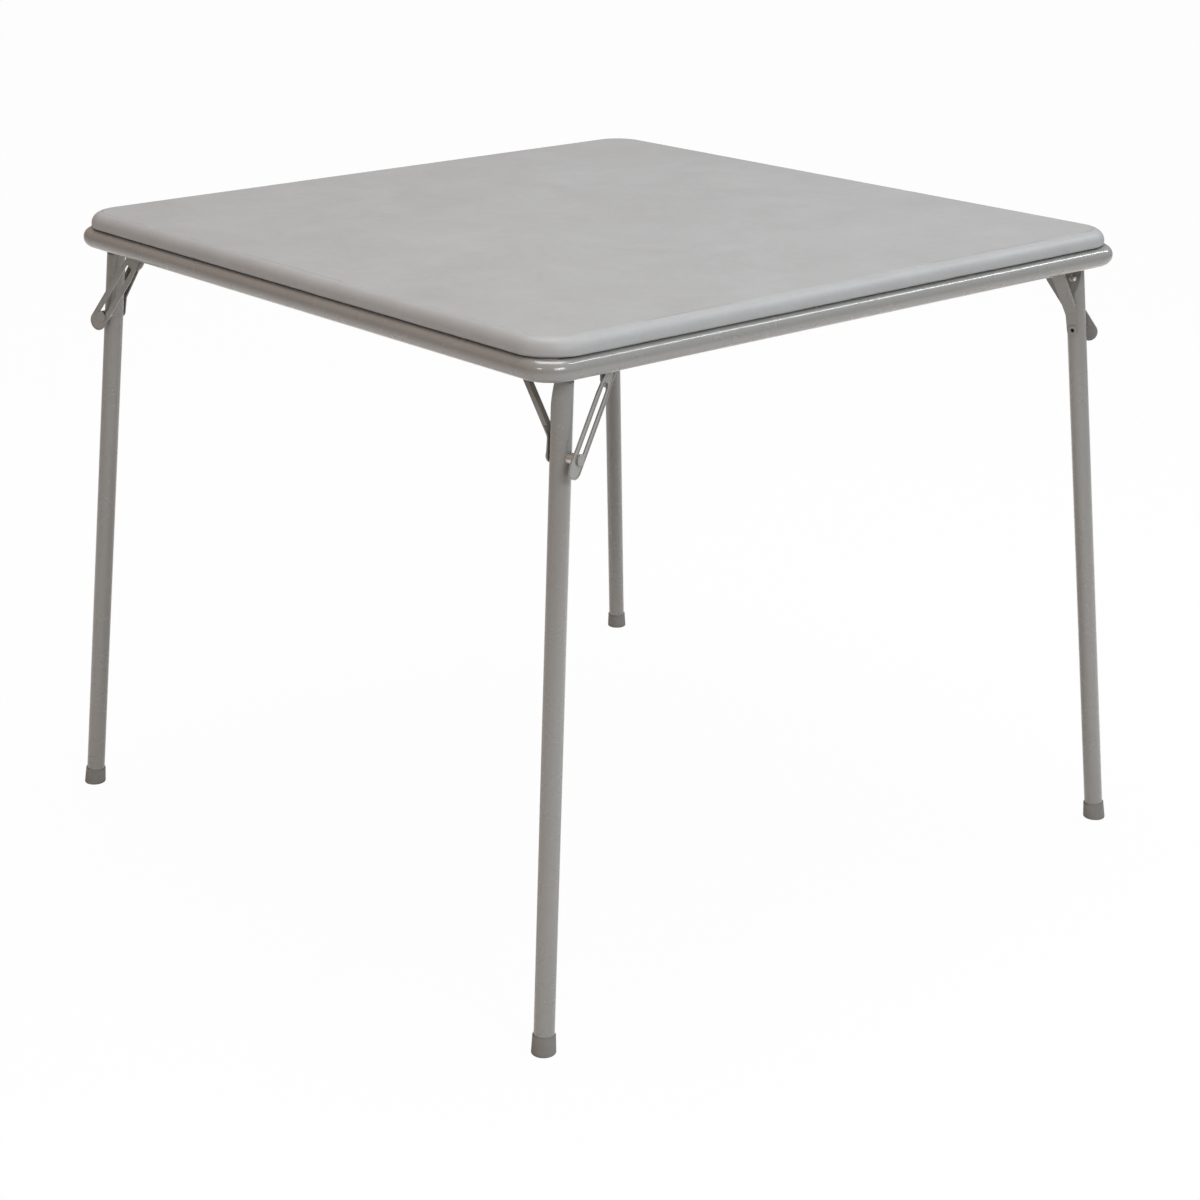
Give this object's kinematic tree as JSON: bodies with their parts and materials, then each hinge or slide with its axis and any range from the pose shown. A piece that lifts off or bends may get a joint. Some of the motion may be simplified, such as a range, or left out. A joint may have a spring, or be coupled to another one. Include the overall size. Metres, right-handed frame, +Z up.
{
  "type": "folding card table",
  "caption": "Square folding card table with a padded vinyl top, a round tube rim rail and splayed tubular legs that fold flat, each held by a slotted locking lever.",
  "frame": {"origin": "on the floor under the middle of the square top, legs open", "axes": "+Z up through the top; +X along the side that the front left leg folds along, +Y along the side that the rear left leg folds away from"},
  "size_m": [0.913, 0.913, 0.7321],
  "materials": {
    "vinyl": "light grey mottled vinyl with a fine grain",
    "foam": "open cell foam",
    "panel": "brown hardboard",
    "frame_paint": "grey gloss enamel",
    "bracket_paint": "grey enamel",
    "zinc": "bright zinc plate",
    "foot_plastic": "matt grey"
  },
  "bodies": {
    "top_and_frame": {"vinyl_cover": "vinyl", "foam_pad": "foam", "top_panel": "panel", "rim_rail": "frame_paint", "rail_joint_sleeve": "frame_paint", "hinge_bolts": "zinc", "hinge_nuts": "zinc", "strap_pivot_rivets": "zinc", "lever_pivot_rivets": "zinc", "panel_screws": "zinc", "cover_staples": "zinc", "corner_bracket_front_left": "bracket_paint", "corner_bracket_front_right": "bracket_paint", "corner_bracket_rear_right": "bracket_paint", "corner_bracket_rear_left": "bracket_paint"},
    "leg_front_left": {"leg_tube_front_left": "frame_paint", "foot_cap_front_left": "foot_plastic", "side_strap_front_left": "bracket_paint", "lock_stud_front_left": "bracket_paint", "stud_spacer_front_left": "zinc", "crimp_rivet_front_left": "zinc"},
    "lever_front_left": {"slotted_lever_front_left": "bracket_paint"},
    "button_front_left": {"lock_button_front_left": "bracket_paint"},
    "leg_front_right": {"leg_tube_front_right": "frame_paint", "foot_cap_front_right": "foot_plastic", "side_strap_front_right": "bracket_paint", "lock_stud_front_right": "bracket_paint", "stud_spacer_front_right": "zinc", "crimp_rivet_front_right": "zinc"},
    "lever_front_right": {"slotted_lever_front_right": "bracket_paint"},
    "button_front_right": {"lock_button_front_right": "bracket_paint"},
    "leg_rear_right": {"leg_tube_rear_right": "frame_paint", "foot_cap_rear_right": "foot_plastic", "side_strap_rear_right": "bracket_paint", "lock_stud_rear_right": "bracket_paint", "stud_spacer_rear_right": "zinc", "crimp_rivet_rear_right": "zinc"},
    "lever_rear_right": {"slotted_lever_rear_right": "bracket_paint"},
    "button_rear_right": {"lock_button_rear_right": "bracket_paint"},
    "leg_rear_left": {"leg_tube_rear_left": "frame_paint", "foot_cap_rear_left": "foot_plastic", "side_strap_rear_left": "bracket_paint", "lock_stud_rear_left": "bracket_paint", "stud_spacer_rear_left": "zinc", "crimp_rivet_rear_left": "zinc"},
    "lever_rear_left": {"slotted_lever_rear_left": "bracket_paint"},
    "button_rear_left": {"lock_button_rear_left": "bracket_paint"}
  },
  "joints": [
    {"name": "leg_fold_front_left", "type": "hinge", "parent": "top_and_frame", "child": "leg_front_left", "pos_m": [-0.3792, -0.3993, 0.697], "axis": [0.2924, -0.9563, 0], "range_deg": [0, 95.71]},
    {"name": "lever_turn_front_left", "type": "hinge", "parent": "top_and_frame", "child": "lever_front_left", "pos_m": [-0.3354, -0.38591, 0.6895], "axis": [0.2924, -0.9563, 0], "range_deg": [0, 132.03]},
    {"name": "button_slide_front_left", "type": "slide", "parent": "lever_front_left", "child": "button_front_left", "axis": [0.5698, 0.1742, 0.8031], "range_m": [0, 0.05708]},
    {"name": "leg_fold_front_right", "type": "hinge", "parent": "top_and_frame", "child": "leg_front_right", "pos_m": [0.3993, -0.3792, 0.697], "axis": [0.9563, 0.2924, 0], "range_deg": [0, 95.71]},
    {"name": "lever_turn_front_right", "type": "hinge", "parent": "top_and_frame", "child": "lever_front_right", "pos_m": [0.38591, -0.3354, 0.6895], "axis": [0.9563, 0.2924, 0], "range_deg": [0, 132.03]},
    {"name": "button_slide_front_right", "type": "slide", "parent": "lever_front_right", "child": "button_front_right", "axis": [-0.1742, 0.5698, 0.8031], "range_m": [0, 0.05708]},
    {"name": "leg_fold_rear_right", "type": "hinge", "parent": "top_and_frame", "child": "leg_rear_right", "pos_m": [0.3792, 0.3993, 0.697], "axis": [-0.2924, 0.9563, 0], "range_deg": [0, 95.71]},
    {"name": "lever_turn_rear_right", "type": "hinge", "parent": "top_and_frame", "child": "lever_rear_right", "pos_m": [0.3354, 0.38591, 0.6895], "axis": [-0.2924, 0.9563, 0], "range_deg": [0, 132.03]},
    {"name": "button_slide_rear_right", "type": "slide", "parent": "lever_rear_right", "child": "button_rear_right", "axis": [-0.5698, -0.1742, 0.8031], "range_m": [0, 0.05708]},
    {"name": "leg_fold_rear_left", "type": "hinge", "parent": "top_and_frame", "child": "leg_rear_left", "pos_m": [-0.3993, 0.3792, 0.697], "axis": [-0.9563, -0.2924, 0], "range_deg": [0, 95.71]},
    {"name": "lever_turn_rear_left", "type": "hinge", "parent": "top_and_frame", "child": "lever_rear_left", "pos_m": [-0.38591, 0.3354, 0.6895], "axis": [-0.9563, -0.2924, 0], "range_deg": [0, 132.03]},
    {"name": "button_slide_rear_left", "type": "slide", "parent": "lever_rear_left", "child": "button_rear_left", "axis": [0.1742, -0.5698, 0.8031], "range_m": [0, 0.05708]}
  ],
  "couplings": [
    {"joint": "lever_turn_front_left", "follows": "leg_fold_front_left", "ratio": 1.3792},
    {"joint": "button_slide_front_left", "follows": "leg_fold_front_left", "m_per_rad": 0.034155},
    {"joint": "lever_turn_front_right", "follows": "leg_fold_front_right", "ratio": 1.3792},
    {"joint": "button_slide_front_right", "follows": "leg_fold_front_right", "m_per_rad": 0.034155},
    {"joint": "lever_turn_rear_right", "follows": "leg_fold_rear_right", "ratio": 1.3792},
    {"joint": "button_slide_rear_right", "follows": "leg_fold_rear_right", "m_per_rad": 0.034155},
    {"joint": "lever_turn_rear_left", "follows": "leg_fold_rear_left", "ratio": 1.3792},
    {"joint": "button_slide_rear_left", "follows": "leg_fold_rear_left", "m_per_rad": 0.034155}
  ]
}
